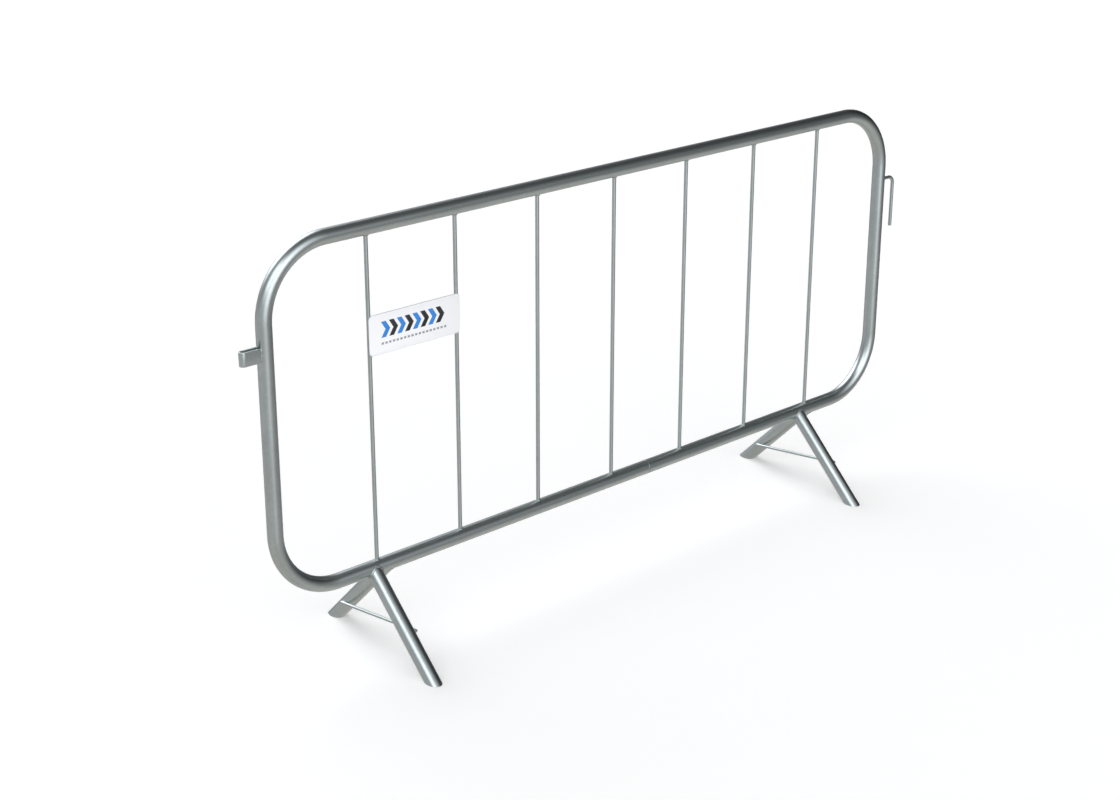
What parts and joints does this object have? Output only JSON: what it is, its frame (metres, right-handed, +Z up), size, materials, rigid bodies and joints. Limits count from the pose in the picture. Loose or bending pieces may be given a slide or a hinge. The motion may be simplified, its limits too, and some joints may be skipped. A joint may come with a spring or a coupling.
{
  "type": "crowd control barrier",
  "caption": "Fixed-leg pedestrian barrier: bent tube frame with upright infill bars, splayed legs, hook and loop ends.",
  "frame": {"origin": "on the ground, at mid length of the frame and in the plane of the frame tube, between the four feet", "axes": "+X along the barrier from the loop end to the hook end, -Y to the front with the sign plate, +Z up"},
  "size_m": [2.303, 0.4998, 1.097],
  "materials": {
    "galvanised_tube": "hot-dip galvanised, satin, with long soft streaks",
    "galvanised_bar": "hot-dip galvanised round bar, satin",
    "galvanised_strap": "hot-dip galvanised flat strap, satin",
    "weld_metal": "galvanised weld bead, uneven, a little duller than the tube",
    "sign_steel": "galvanised sheet, satin",
    "sign_print": "white vinyl film with a plain printed pattern, low gloss"
  },
  "bodies": {
    "root": {"frame_tube": "galvanised_tube", "frame_joint_weld": "weld_metal", "infill_bar_1": "galvanised_bar", "infill_bar_2": "galvanised_bar", "infill_bar_3": "galvanised_bar", "infill_bar_4": "galvanised_bar", "infill_bar_5": "galvanised_bar", "infill_bar_6": "galvanised_bar", "infill_bar_7": "galvanised_bar", "bar_welds_bottom": "weld_metal", "bar_welds_top": "weld_metal", "leg_front_left": "galvanised_tube", "leg_rear_left": "galvanised_tube", "leg_welds_left": "weld_metal", "brace_rod_left": "galvanised_bar", "brace_welds_left": "weld_metal", "leg_front_right": "galvanised_tube", "leg_rear_right": "galvanised_tube", "leg_welds_right": "weld_metal", "brace_rod_right": "galvanised_bar", "brace_welds_right": "weld_metal", "coupling_hook": "galvanised_bar", "hook_weld": "weld_metal", "coupling_loop": "galvanised_strap", "loop_welds": "weld_metal", "sign_plate": "sign_steel", "sign_film": "sign_print", "sign_welds": "weld_metal"}
  },
  "joints": []
}
